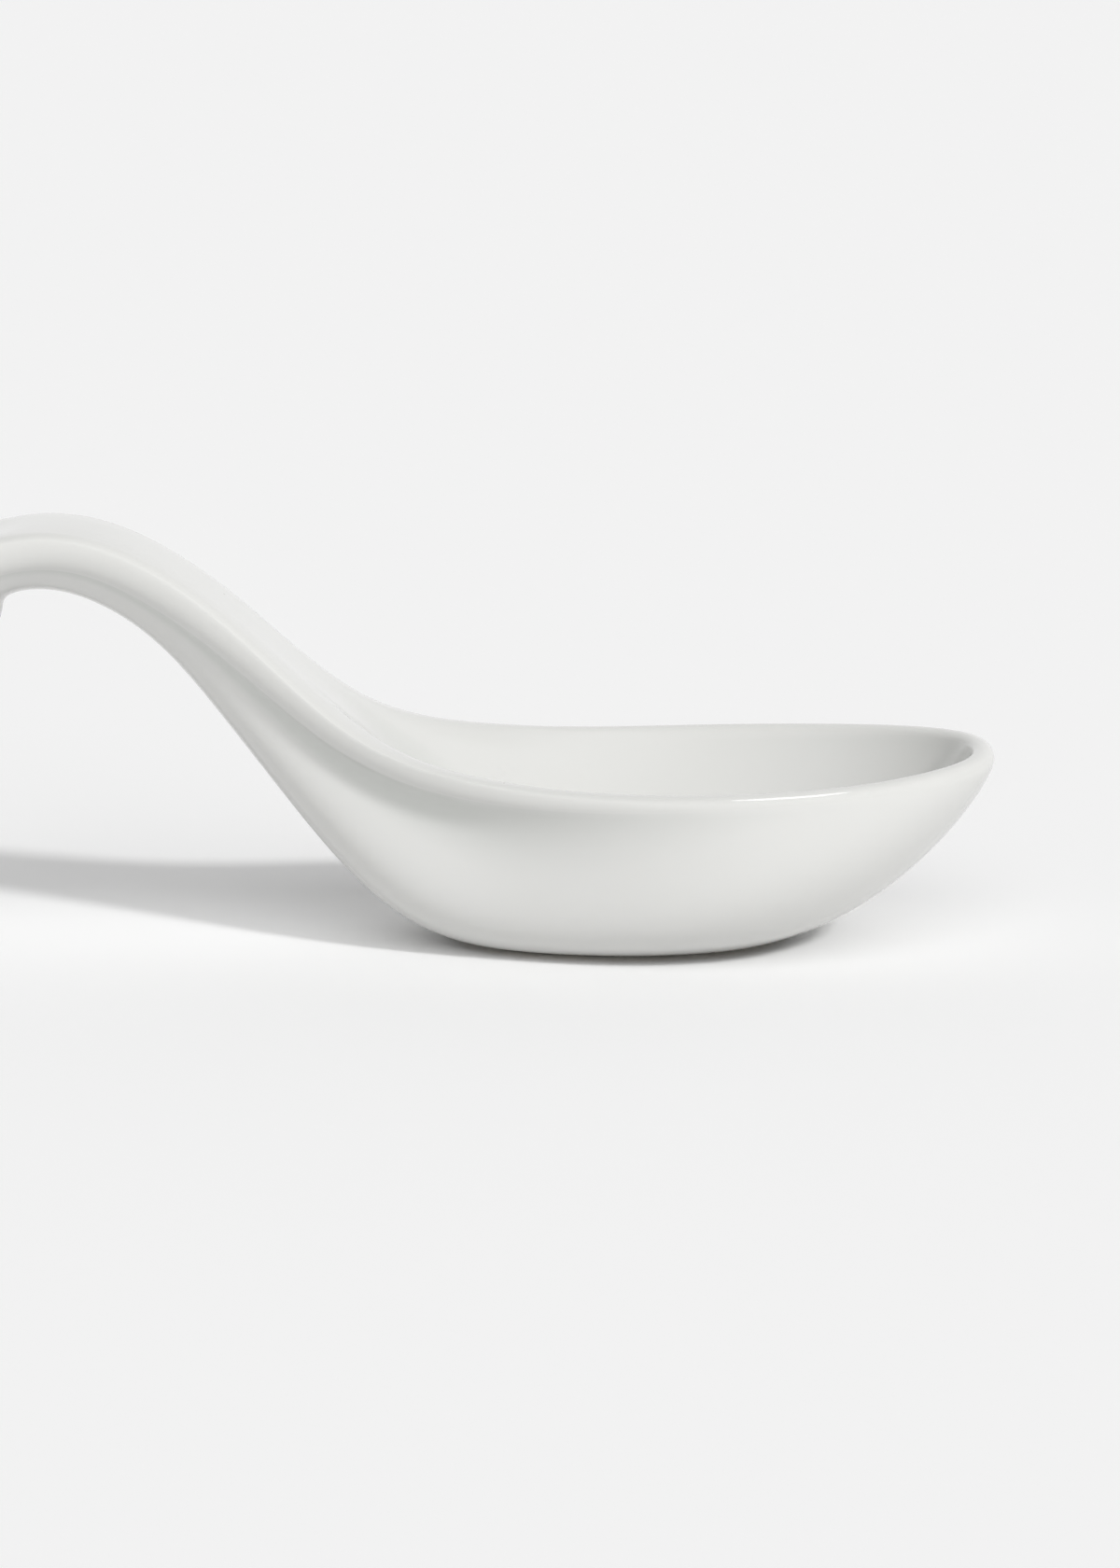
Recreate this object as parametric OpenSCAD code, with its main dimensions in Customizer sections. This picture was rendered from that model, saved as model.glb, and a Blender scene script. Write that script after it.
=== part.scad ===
// Chinese soup spoon: one porcelain casting under a coat of glaze.
// Millimetres. The origin is at the middle of the flat foot, on the table. +X runs to the tip of the
// bowl, -X to the end of the handle, and +Z is up. All sizes are taken over the glaze.

/* [Bowl] */
// From the foot's middle forward to the tip of the bowl
bowl_front = 46.8; // [40:0.1:56]
// Width of the bowl over its rim
bowl_w = 46; // [38:0.5:56]
// Height of the rim at the sides of the bowl
rim_h = 23.1; // [19:0.1:30]
// How much higher the rim stands at the tip
tip_rise = 2.3; // [0:0.1:5]
// Thickness of the rolled rim
rim_t = 3.1; // [2.4:0.1:4.4]
// Thickness of the bowl's bottom over the foot
floor_t = 4.4; // [3.4:0.1:6]
// Depth ground off the round bottom to make the foot flat
foot_cut = 2.2; // [1.2:0.1:3]

/* [Handle] */
// From the foot's middle back to the top of the arch
arch_reach = 74; // [66:0.5:86]
// Height of the arch
arch_h = 53.8; // [46:0.2:64]
// Width of the handle at the arch
handle_w = 18.4; // [15:0.2:24]
// Thickness of the handle's rounded edges
edge_t = 4.8; // [3.8:0.1:6]
// Thickness of the handle at the arch
arch_t = 8.2; // [7:0.1:11]
// How much higher the handle's top stands in its middle than at its edges
crown_h = 0.2; // [0.1:0.05:0.6]

/* [Hooked end] */
// From the top of the arch back to the handle's end
end_len = 24.3; // [20:0.1:32]
// Width of the rounded end
end_w = 20.4; // [17:0.2:26]
// How far the end lies below the arch
end_drop = 2.5; // [0:0.1:6]
// From the top of the arch back to the face of the hook
hook_reach = 5; // [4:0.1:8]
// How far the hook hangs below the arch's underside
hook_d = 5; // [3:0.1:7]
// Depth of the shallow dish in the handle's end
dish_d = 1.4; // [0.6:0.1:2.4]

/* [Glaze] */
// Thickness of the glaze
glaze_t = 0.3; // [0.2:0.05:0.5]
// Height of the bare band that is wiped clean around the foot
bare_h = 0.7; // [0.4:0.1:1.2]

/* [Hidden] */

rim_r = rim_t / 2;
edge_r = edge_t / 2;
tip_x = bowl_front - rim_r;
bowl_half = bowl_w / 2 - rim_r;
handle_half = handle_w / 2 - edge_r;
end_half = end_w / 2 - edge_r;
end_x = end_len - edge_r;
rim_z = rim_h - rim_r;
arch_z = arch_h - crown_h - edge_r;
end_z = arch_z - end_drop;
// Underside of the arch, of the hook, and of the thin end behind it
under_z = arch_h - arch_t;
hook_z = under_z - hook_d;
end_sag = edge_r / 6;
end_under_z = end_z - edge_r - end_sag;

// Three lines carry the whole form, each a smooth curve that runs from the tip of the bowl to the
// end of the handle and is steered by rows of control points: the rim (the middle of its rolled
// edge), the keel (lowest line outside) and the bed (lowest line inside).
// Rim over the bowl: share of the reach to the tip, of the half width, and of the rise at the tip.
bowl_rim_shares = [
  [1.01, 0, 1],
  [0.98, 0.365, 0.9],
  [0.855, 0.64, 0.68],
  [0.68, 0.85, 0.4],
  [0.467, 0.975, 0.18],
  [0.234, 1.0125, 0.05],
  [0, 0.975, 0],
];
// Rim along the neck: share of the arch's reach, of the change in half width from the handle to the
// bowl, and of the climb to the arch.
neck_rim_shares = [
  [0.135, 0.835, 0.01],
  [0.264, 0.675, 0.044],
  [0.376, 0.483, 0.1],
  [0.482, 0.278, 0.218],
  [0.5825, 0.12, 0.422],
  [0.686, 0.033, 0.659],
  [0.7955, 0, 0.858],
  [0.905, 0, 0.989],
  [1, 0.01, 1.013],
];
// Rim round the end: share of the end's length, of its half width, and of its drop.
end_rim_shares = [
  [0.237, 0.93, 0.28],
  [0.38, 0.97, 0.56],
  [0.52, 1, 0.76],
  [0.66, 1, 0.88],
  [0.83, 0.885, 0.96],
  [0.97, 0.57, 1],
  [1.015, 0, 1],
];
// Keel and bed under the bowl: share of the reach to the tip.
bowl_keel_shares = [0.267, 0.256, 0.222, 0.178, 0.122, 0.045, -0.09];
bowl_bed_shares = [0.29, 0.278, 0.245, 0.2, 0.145, 0.067, -0.067];
// Keel and bed along the neck: share of the arch's reach, and of the climb to the arch.
neck_keel_shares = [
  [0.195, 0],
  [0.354, 0.06],
  [0.484, 0.231],
  [0.599, 0.46],
  [0.693, 0.655],
  [0.781, 0.83],
  [0.865, 0.935],
  [0.946, 0.99],
  [1.007, 1],
];
neck_bed_shares = [
  [0.169, 0.016],
  [0.277, 0.125],
  [0.378, 0.339],
  [0.47, 0.506],
  [0.5635, 0.631],
  [0.665, 0.776],
  [0.777, 0.906],
  [0.8945, 0.993],
  [1, 1.006],
];
// Keel over the hook: share of the hook's reach, and of its depth.
hook_keel_shares = [
  [0.78, 0.14],
  [1, 0.44],
  [0.98, 0.94],
];
// Keel from the hook to the end: share of the length left behind the hook, and of the height from
// the thin end's underside down to the hook.
end_keel_shares = [
  [0.155, 1],
  [0.37, 0.42],
  [0.55, 0.05],
  [0.64, 0],
];
// Bed of the end: share of the end's length, and of the change from the crown to the dish.
end_bed_shares = [
  [0.237, 0.1],
  [0.38, 0.4],
  [0.483, 0.75],
  [0.57, 0.95],
  [0.664, 1],
  [0.73, 1],
  [0.758, 1],
];
// Fullness of the walls, at even steps from the tip to the end: how far the outside runs level from
// the keel, how far it drops straight from the rim, and the same two for the inside.
wall_shares = [
  [0.3, 0.05, 0.52, 0.34],
  [0.88, 0.3, 0.52, 0.34],
  [0.86, 0.26, 0.53, 0.36],
  [0.86, 0.2, 0.72, 0.38],
  [0.74, 0.22, 0.77, 0.31],
  [0.62, 0.28, 0.66, 0.3],
  [0.71, 0.36, 0.6, 0.3],
  [0.58, 0.38, 0.6, 0.3],
];
// Where along the lines the thin rim swells into the handle's edge, where the hollow inside levels
// out into the handle's top, and where the edge's underside turns in
swell_shares = [0.36, 0.64];
level_shares = [0.27, 0.49];
tuck_shares = [0.13, 0.43];
// Angles round the rolled edge, from level: how far it is rounded over to the inside on the bowl and
// on the handle, and how far it tucks in below on the handle.
rim_over = 172;
edge_over = 85;
edge_under = 56;
// How square the rolled edge is on the bowl and on the handle: 1 is a round roll, and a lower power
// gives it a flatter top and side with a smaller corner between them.
rim_power = 0.6;
edge_power = 0.7;

// Steps of the surface: along the bowl, over the foot's heel, along the handle, and round a section
bowl_steps = 22;
heel_steps = 5;
handle_steps = 34;
wall_steps = 8;
edge_steps = 8;
inside_steps = 6;
halvings = 24;
// Shares of a row or of a wall by which slopes are measured, and by which they keep off the corners
slope_share = 0.02;
heading_share = 0.5;
corner_row_share = 0.25;
corner_wall_share = 0.06;
// Share of the glaze's thickness that is left at its lower edge
glaze_lip_share = 0.4;
foot_overrun = foot_cut;

rim_rows = concat(
  [for (s = bowl_rim_shares) [s.x * tip_x, s.y * bowl_half, rim_z + s.z * tip_rise]],
  [for (s = neck_rim_shares)
    [-s.x * arch_reach, mix(handle_half, bowl_half, s.y), mix(rim_z, arch_z, s.z)]],
  [for (s = end_rim_shares) [-arch_reach - s.x * end_x, s.y * end_half, mix(arch_z, end_z, s.z)]]
);
keel_rows = concat(
  [for (s = bowl_keel_shares) [s * tip_x, 0, -foot_cut]],
  [for (s = neck_keel_shares) [-s[0] * arch_reach, 0, mix(-foot_cut, under_z, s[1])]],
  [for (s = hook_keel_shares) [-arch_reach - s[0] * hook_reach, 0, under_z - s[1] * hook_d]],
  [for (s = end_keel_shares)
    [-arch_reach - mix(hook_reach, end_x, s[0]), 0, mix(end_under_z, hook_z, s[1])]]
);
bed_rows = concat(
  [for (s = bowl_bed_shares) [s * tip_x, 0, floor_t]],
  [for (s = neck_bed_shares) [-s[0] * arch_reach, 0, mix(floor_t, arch_h, s[1])]],
  [for (i = [0 : len(end_bed_shares) - 1])
    [
      -arch_reach - end_bed_shares[i][0] * end_x,
      0,
      mix(arch_z, end_z, end_rim_shares[i].z) + edge_r + mix(crown_h, -dish_d, end_bed_shares[i][1])
    ]]
);
last_row = len(rim_rows) - 1;

function mix(a, b, s) = a + (b - a) * s;
function unit(v) = v / norm(v);
function clamped(x, low, high) = min(max(x, low), high);

// Rises smoothly from 0 to 1 as x passes between the two ends of a span
function eased(span, x) =
  let (f = clamped((x - span[0]) / (span[1] - span[0]), 0, 1))
  f * f * f * (f * (6 * f - 15) + 10);

// Past its ends a line goes on as its mirror image across the plane of symmetry
function mirrored(p) = len(p) == 3 ? [p.x, -p.y, p.z] : p;
function row_at(rows, i) =
  i < 0 ? mirrored(rows[-i])
  : i >= len(rows) ? mirrored(rows[2 * len(rows) - 2 - i])
  : rows[i];

// Point and slope at u on the smooth curve (a cubic B-spline) that follows the rows
function along(rows, u) =
  let (i = min(floor(u), len(rows) - 2), f = u - i, g = 1 - f)
  (
    row_at(rows, i - 1) * g * g * g
    + row_at(rows, i) * (3 * f * f * f - 6 * f * f + 4)
    + row_at(rows, i + 1) * (3 * g * g * g - 6 * g * g + 4)
    + row_at(rows, i + 2) * f * f * f
  ) / 6;
function slope(rows, u) =
  let (i = min(floor(u), len(rows) - 2), f = u - i, g = 1 - f)
  (
    -row_at(rows, i - 1) * g * g
    + row_at(rows, i) * (3 * f * f - 4 * f)
    - row_at(rows, i + 1) * (3 * g * g - 4 * g)
    + row_at(rows, i + 2) * f * f
  ) / 2;
// Direction of the keel or the bed, taken over a long step so that it holds at the ends too
function heading(rows, u) =
  unit(along(rows, min(u + heading_share, last_row)) - along(rows, max(u - heading_share, 0)));

function bezier(p, v) =
  let (w = 1 - v)
  p[0] * w * w * w + 3 * p[1] * w * w * v + 3 * p[2] * w * v * v + p[3] * v * v * v;

// Point of the rolled edge at an angle, and the direction in which it runs on from there. The edge is
// a circle whose cosine and sine have their sizes raised to a power.
function powered(x, power) = sign(x) * pow(abs(x), power);
function edge_point(edge, turn) =
  let (middle = edge[0], r = edge[1], out = edge[2], up = edge[3], power = edge[4])
  middle + r * (powered(cos(turn), power) * out + powered(sin(turn), power) * up);
function edge_way(edge, turn) =
  let (out = edge[2], up = edge[3], power = 2 - edge[4])
  unit(powered(cos(turn), power) * up - powered(sin(turn), power) * out);

// The half section at u: outside wall and inside wall as curves of four points, the rolled edge
// between them as a middle, a radius, two directions and a power, and the angles of its two ends.
function section(u) =
  let (
    s = u / last_row,
    swell = eased(swell_shares, s),
    over = mix(rim_over, edge_over, eased(level_shares, s)),
    under = edge_under * eased(tuck_shares, s),
    fullness = along(wall_shares, s * (len(wall_shares) - 1)),
    middle = along(rim_rows, u),
    keel = along(keel_rows, u),
    bed = along(bed_rows, u),
    run = unit(slope(rim_rows, u)),
    out = unit([run.y, -run.x, 0]),
    up = cross(out, run),
    keel_side = [0, out.y, 0] - out.x * heading(keel_rows, u),
    bed_side = [0, out.y, 0] - out.x * heading(bed_rows, u),
    edge = [middle, mix(rim_r, edge_r, swell), out, up, mix(rim_power, edge_power, swell)],
    outer = edge_point(edge, -under),
    outer_way = edge_way(edge, -under),
    inner = edge_point(edge, over),
    inner_way = edge_way(edge, over)
  )
  [
    [
      keel,
      keel + fullness[0] * abs((outer - keel) * keel_side) * keel_side,
      outer - fullness[1] * abs((outer - keel) * outer_way) * outer_way,
      outer
    ],
    [
      inner,
      inner + fullness[3] * abs((inner - bed) * inner_way) * inner_way,
      bed + fullness[2] * abs((inner - bed) * bed_side) * bed_side,
      bed
    ],
    edge,
    [-under, over]
  ];

// Point on a half section: v is 0 at the keel, 1 and 2 where the rolled edge starts and ends, and 3
// at the bed.
function on_section(h, v) =
  let (turn = mix(h[3][0], h[3][1], v - 1))
  v <= 1 ? bezier(h[0], v)
  : v >= 2 ? bezier(h[1], v - 2)
  : edge_point(h[2], turn);

// Outward direction at (u, v), measured a little way off the corners where the lines run together
function outward(u, v) =
  let (
    a = clamped(u, corner_row_share, last_row - corner_row_share),
    b = clamped(v, corner_wall_share, 3 - corner_wall_share),
    ahead = on_section(section(a + slope_share), b) - on_section(section(a - slope_share), b),
    here = section(a),
    across = on_section(here, b + slope_share) - on_section(here, b - slope_share)
  )
  unit(cross(ahead, across));

// Where the outside wall of a half section, and where the keel line, rises through a height z
function wall_level(h, z, low = 0, high = 1, n = halvings) =
  let (m = (low + high) / 2)
  h[0][0].z >= z ? 0
  : n == 0 ? m
  : bezier(h[0], m).z < z ? wall_level(h, z, m, high, n - 1)
  : wall_level(h, z, low, m, n - 1);
function keel_level(z, low, high, n = halvings) =
  let (m = (low + high) / 2)
  n == 0 ? m
  : along(keel_rows, m).z < z ? keel_level(z, m, high, n - 1)
  : keel_level(z, low, m, n - 1);

// Rows of the surface. The heel of the foot and the end of the bare band each fall on a row.
sunk_z = -glaze_t - bare_h / 2;
arch_row = len(bowl_rim_shares) + len(neck_rim_shares) - 1;
sunk_u = keel_level(sunk_z, 0, arch_row);
bare_u = keel_level(bare_h, 0, arch_row);
surface_rows = concat(
  [for (i = [0 : bowl_steps - 1]) sunk_u * i / bowl_steps],
  [for (i = [0 : heel_steps - 1]) mix(sunk_u, bare_u, i / heel_steps)],
  [for (i = [0 : handle_steps]) mix(bare_u, last_row, i / handle_steps)]
);
heel_i = bowl_steps;
bare_i = bowl_steps + heel_steps;
end_i = len(surface_rows) - 1;

// Stations round a half section: the keel, a line inside the part that is ground off, the lower edge
// of the glaze, then even steps up the wall, round the rolled edge and down the inside.
bare_j = 2;
end_j = bare_j + wall_steps + edge_steps + inside_steps;
function stations(h) =
  let (bare_v = wall_level(h, bare_h))
  concat(
    [0, wall_level(h, sunk_z), bare_v],
    [for (k = [1 : wall_steps]) mix(bare_v, 1, k / wall_steps)],
    [for (k = [1 : edge_steps]) 1 + k / edge_steps],
    [for (k = [1 : inside_steps]) 2 + k / inside_steps]
  );

// A corner of the surface is a pair of a row and a station. Behind the foot's heel the first stations
// run together on the keel.
function first_j(i) = i >= bare_i ? bare_j : i >= heel_i ? 1 : 0;
function settled(corner) = [corner[0], max(corner[1], first_j(corner[0]))];
function on_plane(corner) =
  corner[0] == 0 || corner[0] == end_i || corner[1] <= first_j(corner[0]) || corner[1] == end_j;

// Half of the glazed surface, and how far each point lies under it on the bare casting
half_skin = [
  for (u = surface_rows)
    let (h = section(u))
    [for (v = stations(h)) on_section(h, v)]
];
half_depth = [
  for (i = [0 : end_i])
    let (u = surface_rows[i], vs = stations(section(u)))
    [for (j = [0 : end_j])
      let (way = outward(u, vs[j]))
      glaze_t * (on_plane([i, j]) ? unit([way.x, 0, way.z]) : way)]
];
function flattened(grid) = [for (row = grid, p = row) p];
core = flattened(half_skin) - flattened(half_depth);
// The glaze thins out at its lower edge
glaze_skin = [
  for (i = [0 : end_i], j = [0 : end_j])
    half_skin[i][j] - (j <= bare_j && i <= bare_i ? 1 - glaze_lip_share : 0) * half_depth[i][j]
];

// A sheet of triangles over both halves. Its points are one half and then its mirror image, and the
// two halves share what lies on the plane of symmetry.
half_count = (end_i + 1) * (end_j + 1);
function index(corner, side) =
  let (k = settled(corner))
  k[0] * (end_j + 1) + k[1] + (side == 1 && !on_plane(k) ? half_count : 0);
function both_halves(half) = concat(half, [for (p = half) mirrored(p)]);
function turned(face) = [face[2], face[1], face[0]];
function shifted(faces, step) = [for (f = faces) [for (k = f) k + step]];
// A triangle is left out where it has collapsed to a line, or lies flat in the plane of symmetry
function is_drawn(corners) =
  let (k = [for (corner = corners) settled(corner)])
  k[0] != k[1] && k[1] != k[2] && k[2] != k[0]
  && !(on_plane(k[0]) && on_plane(k[1]) && on_plane(k[2]));
function sheet(from_j) = [
  for (side = [0, 1], i = [0 : end_i - 1], j = [from_j : end_j - 1])
    let (a = [i, j], b = [i, j + 1], c = [i + 1, j + 1], d = [i + 1, j])
    for (corners = [[a, b, c], [a, c, d]])
      if (is_drawn(corners))
        let (face = [for (corner = corners) index(corner, side)])
        side == 0 ? face : turned(face)
];

// The fired casting, its round bottom ground flat to make the foot
module porcelain_body() {
  color("#ebe7dd")
    difference() {
      polyhedron(points = both_halves(core), faces = sheet(0));
      translate([-arch_reach, -bowl_w / 2, -foot_cut - foot_overrun])
        cube([arch_reach + bowl_front, bowl_w, foot_cut + foot_overrun]);
    }
}

// The glass skin over everything but the foot, closed along its lower edge
module glaze_coat() {
  sheet_count = 2 * half_count;
  outside = sheet(bare_j);
  inside = shifted([for (f = outside) turned(f)], sheet_count);
  lower_edge = [
    for (side = [0, 1], i = [0 : bare_i - 1])
      let (
        a = index([i, bare_j], side),
        b = index([i + 1, bare_j], side),
        c = b + sheet_count,
        d = a + sheet_count
      )
      for (face = [[a, b, c], [a, c, d]])
        side == 0 ? face : turned(face)
  ];
  color("#f3f4ef")
    polyhedron(
      points = concat(both_halves(glaze_skin), both_halves(core)),
      faces = concat(outside, inside, lower_edge)
    );
}

porcelain_body();
glaze_coat();
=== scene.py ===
# %% [markdown]
# # A porcelain soup spoon
# The real spoon is one porcelain casting under a coat of glaze. It stands on the flat foot of its
# bowl. Its handle arches up with a nearly flat top, and ends in a shallow dish over a hook that hangs
# on the rim of a soup bowl. Nothing on it is straight, so it is made here as two smooth surfaces
# worked out from formulas: the bare casting, and the skin of glaze over it. The imported solids give
# the place and the size. They are loaded first, and their box gives the largest sizes.

# %% Load the frame
import math

import bmesh
import bpy
import numpy as np
from mathutils import Euler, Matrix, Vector


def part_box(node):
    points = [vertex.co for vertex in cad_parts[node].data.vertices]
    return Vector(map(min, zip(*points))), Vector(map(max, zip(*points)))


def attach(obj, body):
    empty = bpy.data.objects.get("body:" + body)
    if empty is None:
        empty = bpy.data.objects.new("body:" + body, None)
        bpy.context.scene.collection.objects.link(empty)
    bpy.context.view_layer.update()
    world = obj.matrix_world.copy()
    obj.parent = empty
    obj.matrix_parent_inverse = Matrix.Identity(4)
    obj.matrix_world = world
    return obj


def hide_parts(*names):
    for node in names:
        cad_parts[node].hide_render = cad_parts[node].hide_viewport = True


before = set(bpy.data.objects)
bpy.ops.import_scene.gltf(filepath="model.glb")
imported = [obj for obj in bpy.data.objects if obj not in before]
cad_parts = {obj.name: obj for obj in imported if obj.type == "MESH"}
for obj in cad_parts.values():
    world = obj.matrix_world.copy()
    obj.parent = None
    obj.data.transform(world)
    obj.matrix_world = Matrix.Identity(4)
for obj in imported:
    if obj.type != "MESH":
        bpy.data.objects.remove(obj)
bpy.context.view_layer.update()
MM = 0.001

# %% [markdown]
# ## The camera
# The photograph looks at the spoon from the side and a little from above, through a long lens. A
# camera can be fitted by eye in the viewport, but its numbers are then hard to explain. Here it
# follows from three facts read off the photograph: how high the view is, how large a millimetre
# appears at the foot, and where the middle of the foot lies in the frame.

# %% Camera
PHOTO_W, PHOTO_H = 1200, 1680
FOOT_PX = (670, 1003)
PX_PER_MM = 8.35
VIEW_ELEVATION = math.radians(12.5)
VIEW_DISTANCE = 620 * MM
SENSOR = 36.0

focal_px = PX_PER_MM / MM * VIEW_DISTANCE
ahead = Vector((0, math.cos(VIEW_ELEVATION), -math.sin(VIEW_ELEVATION)))
upward = Vector((0, math.sin(VIEW_ELEVATION), math.cos(VIEW_ELEVATION)))
across_px = FOOT_PX[0] - PHOTO_W / 2
down_px = FOOT_PX[1] - PHOTO_H / 2

camera = bpy.data.objects.new("camera", bpy.data.cameras.new("camera"))
bpy.context.scene.collection.objects.link(camera)
camera.data.sensor_width = SENSOR
camera.data.lens = SENSOR * focal_px / PHOTO_H
camera.location = (
    -VIEW_DISTANCE * ahead
    - Vector((across_px / focal_px * VIEW_DISTANCE, 0, 0))
    + upward * (down_px / focal_px * VIEW_DISTANCE)
)
camera.rotation_euler = (math.pi / 2 - VIEW_ELEVATION, 0, 0)
bpy.context.scene.camera = camera
bpy.context.scene.view_settings.view_transform = "Standard"
print("camera at", [round(c, 4) for c in camera.location], "lens", round(camera.data.lens, 1), "mm")

# %% [markdown]
# ## The sizes
# The largest sizes are read from the frame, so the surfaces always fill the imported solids. The
# others are the sizes that a maker would measure on the spoon with calipers. All of them are taken
# over the glaze, in millimetres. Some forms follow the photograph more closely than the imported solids
# do, and differ from them by up to about 2.4 mm: the walls are hollower under the rim and fuller low
# down, less of the round bottom is ground off, the edge has a tighter corner, and the inside leaves
# the rim at a slope.

# %% Sizes
low, high = (np.array(corner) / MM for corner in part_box("glaze_coat"))
bowl_front = high[0]
bowl_w = 2 * high[1]
arch_h = high[2]
# The bowl's rim: its height, how much higher it is at the tip, and its thickness.
rim_h, tip_rise, rim_t = 23.1, 2.3, 3.1
# The bowl's bottom: how high its inside lies, and how much is ground off under the tip and at the heel.
floor_t, tip_cut, foot_cut = 4.4, 0.8, 0.95
# The handle: its reach back to the arch, width, edge, thickness at the arch, and the crown on top.
arch_reach, handle_w, edge_t, arch_t, crown_h = 74.0, 18.4, 4.8, 8.2, 0.2
# The end: its length behind the arch, width, fall, the depth of its dish, the hook's place and depth.
end_len = -low[0] - arch_reach
end_w, end_drop, dish_d, hook_reach, hook_d = 20.4, 2.5, 1.4, 5.0, 5.0
# The end's underside lies this share of the edge's radius below the middle of the edge.
end_under_share = 7 / 6
# The glaze: its thickness, and how high above the table it stops.
glaze_t, bare_h = 0.3, 0.7

rim_r, edge_r = rim_t / 2, edge_t / 2
tip_x, end_x = bowl_front - rim_r, end_len - edge_r
bowl_half, handle_half, end_half = bowl_w / 2 - rim_r, handle_w / 2 - edge_r, end_w / 2 - edge_r
rim_z, arch_z = rim_h - rim_r, arch_h - crown_h - edge_r
end_z, under_z = arch_z - end_drop, arch_h - arch_t
end_under_z = end_z - edge_r * end_under_share
print("spoon", round(high[0] - low[0], 1), "mm long,", round(bowl_w, 1), "wide,", round(arch_h, 1), "high")

# %% [markdown]
# ## Three lines that carry the form
# A boat builder draws a hull with a few long lines, and the spoon is drawn the same way. The rim
# line is the middle of the rolled edge, from the tip of the bowl along one side to the end of the
# handle. The keel is the lowest line outside, and the bed is the lowest line inside. Each is a
# smooth curve steered by rows of control points, and each row is written as shares of the sizes
# above, so the form follows when a size changes. Subdivision modelling could give a similar form,
# but its cage would hide these few meaningful numbers among hundreds of corners.

# %% Shares along the lines
# The rim line: along, across and up.
bowl_rim_shares = np.array([
    [1.01, 0, 1], [0.98, 0.365, 0.9], [0.855, 0.64, 0.68], [0.68, 0.85, 0.4],
    [0.467, 0.975, 0.18], [0.234, 1.0125, 0.05], [0, 0.975, 0],
])
neck_rim_shares = np.array([
    [0.135, 0.835, 0.01], [0.264, 0.675, 0.044], [0.376, 0.483, 0.1], [0.482, 0.278, 0.218],
    [0.5825, 0.12, 0.422], [0.686, 0.033, 0.659], [0.7955, 0, 0.858], [0.905, 0, 0.989], [1, 0.01, 1.013],
])
end_rim_shares = np.array([
    [0.237, 0.93, 0.28], [0.38, 0.97, 0.56], [0.52, 1, 0.76], [0.66, 1, 0.88],
    [0.83, 0.885, 0.96], [0.97, 0.57, 1], [1.015, 0, 1],
])
# The keel and the bed: along, and up or down where the line leaves the bowl's flat bottom.
bowl_keel_shares = np.array([0.267, 0.256, 0.222, 0.178, 0.122, 0.045, -0.09])
neck_keel_shares = np.array([
    [0.195, 0], [0.354, 0.045], [0.484, 0.222], [0.599, 0.452], [0.693, 0.65],
    [0.781, 0.8275], [0.865, 0.934], [0.946, 0.99], [1.007, 1],
])
hook_keel_shares = np.array([[0.78, 0.14], [1, 0.44], [0.98, 0.94]])
end_keel_shares = np.array([[0.155, 1], [0.37, 0.42], [0.55, 0.05], [0.64, 0]])
bowl_bed_shares = np.array([0.29, 0.278, 0.245, 0.2, 0.145, 0.067, -0.067])
neck_bed_shares = np.array([
    [0.169, 0.016], [0.277, 0.125], [0.378, 0.339], [0.47, 0.506], [0.5635, 0.631],
    [0.665, 0.776], [0.777, 0.906], [0.8945, 0.993], [1, 1.006],
])
end_bed_shares = np.array([
    [0.237, 0.1], [0.38, 0.4], [0.483, 0.75], [0.57, 0.95], [0.664, 1], [0.73, 1], [0.758, 1],
])
print("rows on bowl, neck and end:", len(bowl_rim_shares), len(neck_rim_shares), len(end_rim_shares))

# %% [markdown]
# ## Control points
# Each stretch of a line has its own sizes that its shares belong to: the bowl's half length and half
# width, the way back from the foot to the arch, and the length of the end. Multiplied out and put one
# after the other, the stretches give one list of points for each line, and the same row number means
# the same place along the spoon in all three.

# %% Control points


def mix(a, b, s):
    """The value a share s of the way from a to b."""
    return a + (b - a) * s


def rows(x, y, z):
    """Control points from three columns, any of which may be one number."""
    return np.stack(np.broadcast_arrays(x, y, z), -1).astype(float)


end_rim_z = mix(arch_z, end_z, end_rim_shares[:, 2])
rim_rows = np.concatenate([
    rows(bowl_rim_shares[:, 0] * tip_x, bowl_rim_shares[:, 1] * bowl_half,
         rim_z + bowl_rim_shares[:, 2] * tip_rise),
    rows(-neck_rim_shares[:, 0] * arch_reach, mix(handle_half, bowl_half, neck_rim_shares[:, 1]),
         mix(rim_z, arch_z, neck_rim_shares[:, 2])),
    rows(-arch_reach - end_rim_shares[:, 0] * end_x, end_rim_shares[:, 1] * end_half, end_rim_z),
])
keel_rows = np.concatenate([
    rows(bowl_keel_shares * tip_x, 0, -mix(tip_cut, foot_cut, np.linspace(0, 1, len(bowl_keel_shares)))),
    rows(-neck_keel_shares[:, 0] * arch_reach, 0, mix(-foot_cut, under_z, neck_keel_shares[:, 1])),
    rows(-arch_reach - hook_keel_shares[:, 0] * hook_reach, 0, under_z - hook_keel_shares[:, 1] * hook_d),
    rows(-arch_reach - mix(hook_reach, end_x, end_keel_shares[:, 0]), 0,
         mix(end_under_z, under_z - hook_d, end_keel_shares[:, 1])),
])
bed_rows = np.concatenate([
    rows(bowl_bed_shares * tip_x, 0, floor_t),
    rows(-neck_bed_shares[:, 0] * arch_reach, 0, mix(floor_t, arch_h, neck_bed_shares[:, 1])),
    rows(-arch_reach - end_bed_shares[:, 0] * end_x, 0,
         end_rim_z + edge_r + mix(crown_h, -dish_d, end_bed_shares[:, 1])),
])
WIDEST = int(rim_rows[:, 1].argmax())
ARCH = len(bowl_rim_shares) + len(neck_rim_shares) - 1
LAST = len(rim_rows) - 1
print("rows from 0 at the tip to", LAST, "at the end, the bowl widest at", WIDEST, "and the arch at", ARCH)

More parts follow.
